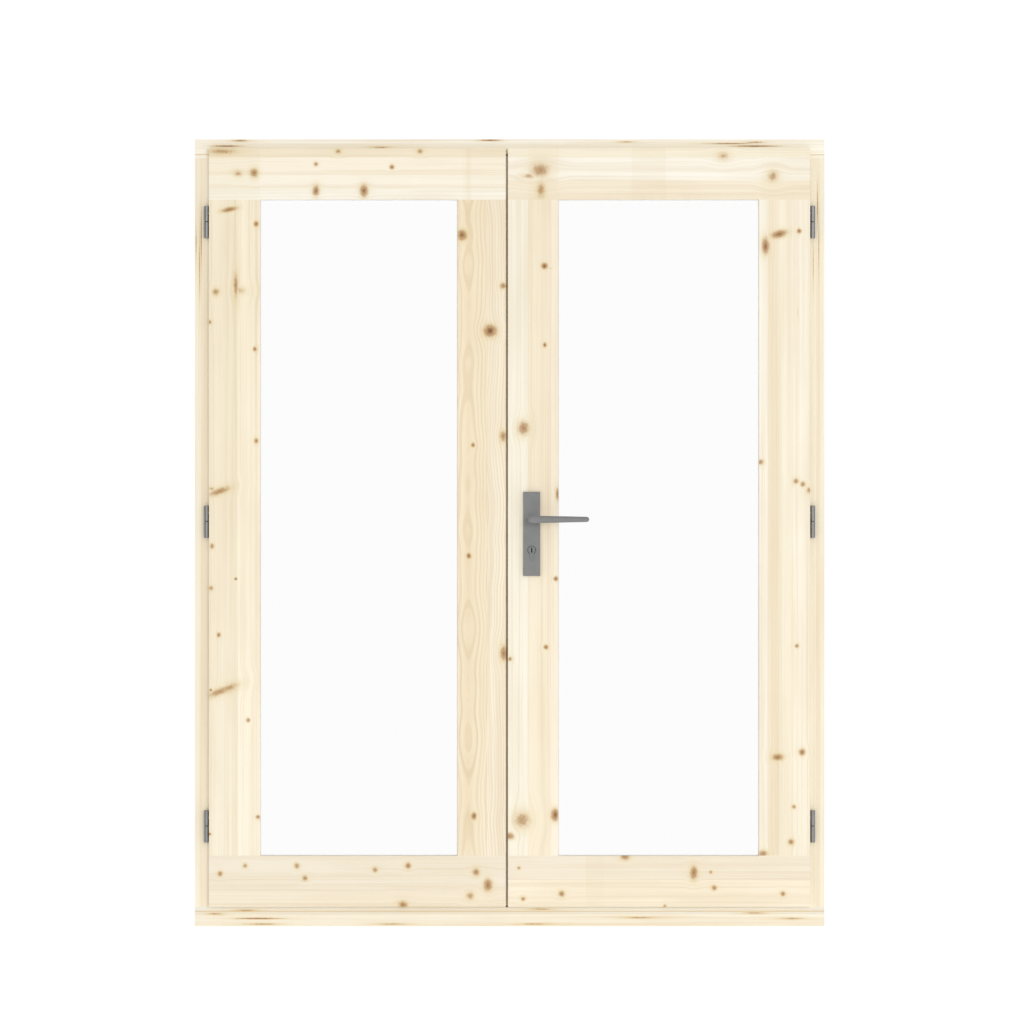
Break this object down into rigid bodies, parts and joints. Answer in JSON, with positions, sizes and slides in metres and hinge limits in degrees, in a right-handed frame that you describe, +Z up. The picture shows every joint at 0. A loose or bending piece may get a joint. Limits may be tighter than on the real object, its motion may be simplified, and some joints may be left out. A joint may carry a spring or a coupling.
{
  "type": "french doors",
  "caption": "Outward-opening double door of light laminated spruce with tall glass, side hinges, a lever handle on one leaf and its wooden frame.",
  "frame": {"origin": "centre of the sill's underside, half way through the frame's depth", "axes": "+X to the right seen from outside, +Y from outside to inside, +Z up"},
  "size_m": [1.485, 0.17, 1.855],
  "materials": {
    "spruce": "raw planed laminated softwood with small knots",
    "hinge_steel": "satin",
    "handle_grey": "satin grey",
    "cylinder_metal": "satin",
    "zinc_steel": "zinc plated",
    "clear_glass": "clear",
    "spacer_metal": "mill finish",
    "black_rubber": "matt",
    "plastic": "matt"
  },
  "bodies": {
    "frame": {"header": "spruce", "sill": "spruce", "left_jamb": "spruce", "right_jamb": "spruce", "frame_seal": "black_rubber", "bolt_keeps": "hinge_steel", "frame_screws": "zinc_steel", "frame_knuckle_left_low": "hinge_steel", "frame_knuckle_left_mid": "hinge_steel", "frame_knuckle_left_top": "hinge_steel", "frame_knuckle_right_low": "hinge_steel", "frame_knuckle_right_mid": "hinge_steel", "frame_knuckle_right_top": "hinge_steel", "hinge_rings": "plastic"},
    "passive_leaf": {"leaf_knuckle_left_low": "hinge_steel", "leaf_knuckle_left_mid": "hinge_steel", "leaf_knuckle_left_top": "hinge_steel", "passive_hinge_stile": "spruce", "passive_meeting_stile": "spruce", "passive_top_rail": "spruce", "passive_bottom_rail": "spruce", "passive_panes": "clear_glass", "passive_spacer": "spacer_metal", "passive_beads": "spruce", "passive_blocks": "plastic", "passive_tape": "black_rubber", "meeting_seal": "black_rubber", "strike_plate": "zinc_steel", "passive_screws": "zinc_steel", "top_bolt_guide": "hinge_steel", "bottom_bolt_guide": "hinge_steel"},
    "active_leaf": {"leaf_knuckle_right_low": "hinge_steel", "leaf_knuckle_right_mid": "hinge_steel", "leaf_knuckle_right_top": "hinge_steel", "active_hinge_stile": "spruce", "active_lock_stile": "spruce", "active_top_rail": "spruce", "active_bottom_rail": "spruce", "active_panes": "clear_glass", "active_spacer": "spacer_metal", "active_beads": "spruce", "active_blocks": "plastic", "active_tape": "black_rubber", "lock_case": "zinc_steel", "faceplate": "zinc_steel", "lock_screws": "zinc_steel", "cylinder_body": "cylinder_metal", "outer_plate": "handle_grey", "inner_plate": "handle_grey", "plate_screws": "zinc_steel"},
    "lever_set": {"follower": "zinc_steel", "spindle": "zinc_steel", "outer_lever": "handle_grey", "inner_lever": "handle_grey"},
    "latch": {"latch_bolt": "zinc_steel"},
    "lock_bolt": {"deadbolt": "zinc_steel"},
    "cylinder_core": {"cylinder_plugs": "cylinder_metal", "cylinder_cam": "cylinder_metal"},
    "top_slide": {"top_bolt": "hinge_steel"},
    "bottom_slide": {"bottom_bolt": "hinge_steel"}
  },
  "joints": [
    {"name": "active_leaf_swing", "type": "hinge", "parent": "frame", "child": "active_leaf", "pos_m": [0.7144, -0.0425, 0.9543], "axis": [0, 0, 1], "range_deg": [0, 150]},
    {"name": "passive_leaf_swing", "type": "hinge", "parent": "frame", "child": "passive_leaf", "pos_m": [-0.7144, -0.0425, 0.9543], "axis": [0, 0, -1], "range_deg": [0, 150]},
    {"name": "lever_turn", "type": "hinge", "parent": "active_leaf", "child": "lever_set", "pos_m": [0.05205, -0.0225, 0.959], "axis": [0, 1, 0], "range_deg": [0, 40], "stiffness_Nm_per_rad": 1.6, "springref_deg": -57.3},
    {"name": "latch_slide", "type": "slide", "parent": "active_leaf", "child": "latch", "axis": [1, 0, 0], "range_m": [0, 0.011]},
    {"name": "cylinder_turn", "type": "hinge", "parent": "active_leaf", "child": "cylinder_core", "pos_m": [0.05205, -0.0225, 0.887], "axis": [0, 1, 0], "range_deg": [0, 360]},
    {"name": "deadbolt_slide", "type": "slide", "parent": "active_leaf", "child": "lock_bolt", "axis": [-1, 0, 0], "range_m": [0, 0.02]},
    {"name": "top_bolt_slide", "type": "slide", "parent": "passive_leaf", "child": "top_slide", "axis": [0, 0, 1], "range_m": [0, 0.02]},
    {"name": "bottom_bolt_slide", "type": "slide", "parent": "passive_leaf", "child": "bottom_slide", "axis": [0, 0, -1], "range_m": [0, 0.02]}
  ],
  "couplings": [
    {"joint": "passive_leaf_swing", "follows": "active_leaf_swing", "ratio": 1},
    {"joint": "latch_slide", "follows": "lever_turn", "m_per_rad": 0.015755},
    {"joint": "cylinder_turn", "follows": "deadbolt_slide", "rad_per_m": 314.16}
  ]
}
